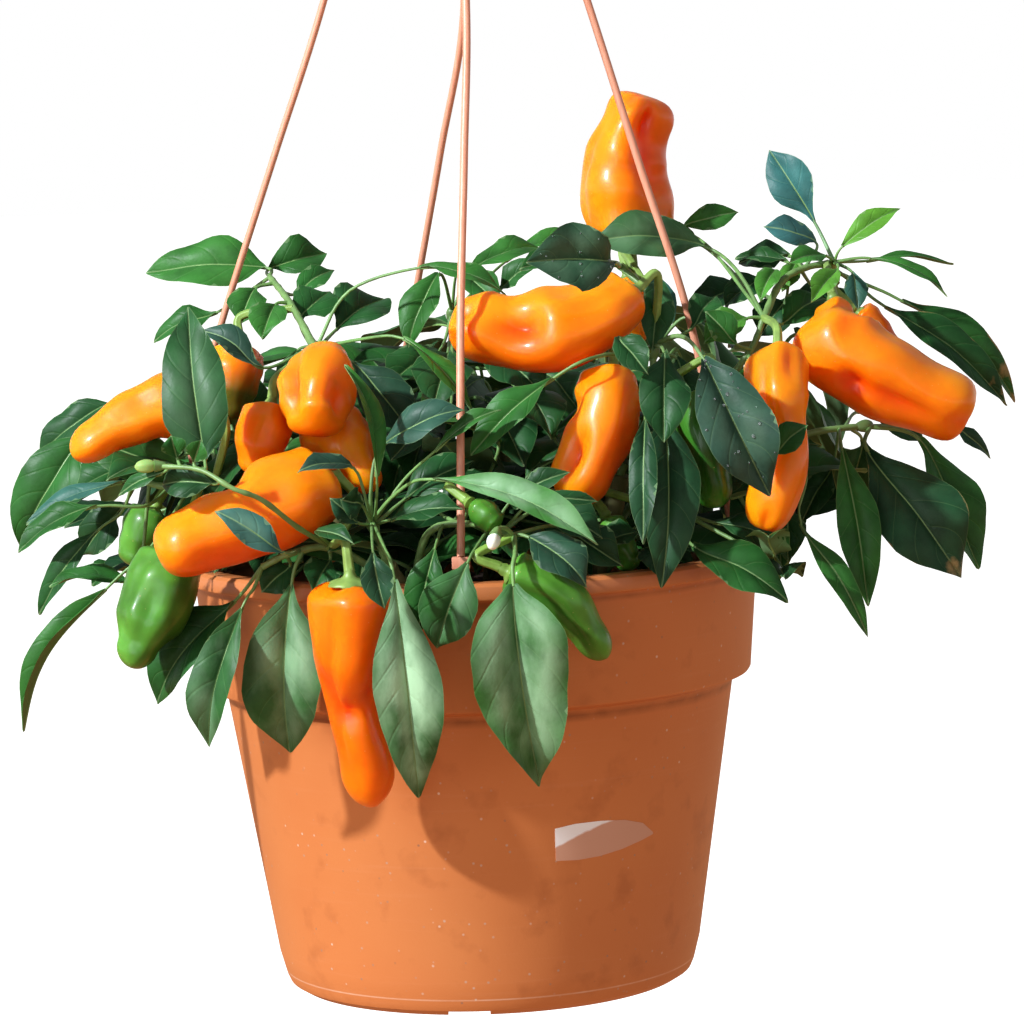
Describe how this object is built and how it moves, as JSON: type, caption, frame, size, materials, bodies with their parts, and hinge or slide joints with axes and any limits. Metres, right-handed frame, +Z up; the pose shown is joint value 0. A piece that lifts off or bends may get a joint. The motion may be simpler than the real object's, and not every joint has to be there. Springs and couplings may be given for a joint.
{
  "type": "potted chilli pepper plant",
  "caption": "Pepper plant with ripe and green fruit in a hanging plastic pot, carried by moulded strands that meet at a hook above the foliage.",
  "frame": {"origin": "bearing point on the inside of the hook, where the planter hangs", "axes": "+Z up along the pot's axis, +X to the right across the front of the plant, +Y from the front towards the back"},
  "size_m": [0.4488, 0.3749, 0.6732],
  "materials": {
    "pot": "semi-matte terracotta-coloured plastic",
    "soil": "moist dark potting mix",
    "hanger": "smooth pinkish terracotta-coloured plastic",
    "wood": "green-brown woody stem",
    "foliage": "satin dark green leaf",
    "ripe": "glossy orange fruit skin",
    "unripe": "glossy green fruit skin",
    "bud": "matte white petals"
  },
  "bodies": {
    "root": {"bud_front": "bud", "bud_left": "bud", "fruit_amber": "ripe", "fruit_back_1": "ripe", "fruit_back_2": "ripe", "fruit_back_3": "unripe", "fruit_centre_left": "ripe", "fruit_centre_left_low": "ripe", "fruit_front_hanging": "ripe", "fruit_green_front": "unripe", "fruit_green_left": "unripe", "fruit_green_left_rear": "unripe", "fruit_green_right": "unripe", "fruit_green_rim": "unripe", "fruit_green_young": "unripe", "fruit_left_long": "ripe", "fruit_left_small": "ripe", "fruit_middle": "ripe", "fruit_middle_low": "ripe", "fruit_middle_rear": "ripe", "fruit_right_hidden": "ripe", "fruit_right_large": "ripe", "fruit_right_narrow": "ripe", "fruit_top": "ripe", "fruit_upper_left": "ripe", "hook": "hanger", "leafy_stem_back_1": "foliage", "leafy_stem_back_2": "foliage", "leafy_stem_back_3": "foliage", "leafy_stem_back_4": "foliage", "leafy_stem_back_left": "foliage", "leafy_stem_back_right": "foliage", "leafy_stem_front_crown": "foliage", "leafy_stem_front_left": "foliage", "leafy_stem_front_right": "foliage", "leafy_stem_left_crown": "foliage", "leafy_stem_left_outer": "foliage", "leafy_stem_mid_right": "foliage", "leafy_stem_middle_back": "foliage", "leafy_stem_right_crown": "foliage", "leafy_stem_right_front": "foliage", "leafy_stem_right_low": "foliage", "pot": "pot", "soil": "soil", "strand_back": "hanger", "strand_front": "hanger", "strand_left": "hanger", "strand_right": "hanger", "trunk_back": "wood", "trunk_front": "wood", "trunk_left": "wood", "trunk_right": "wood"}
  },
  "joints": []
}
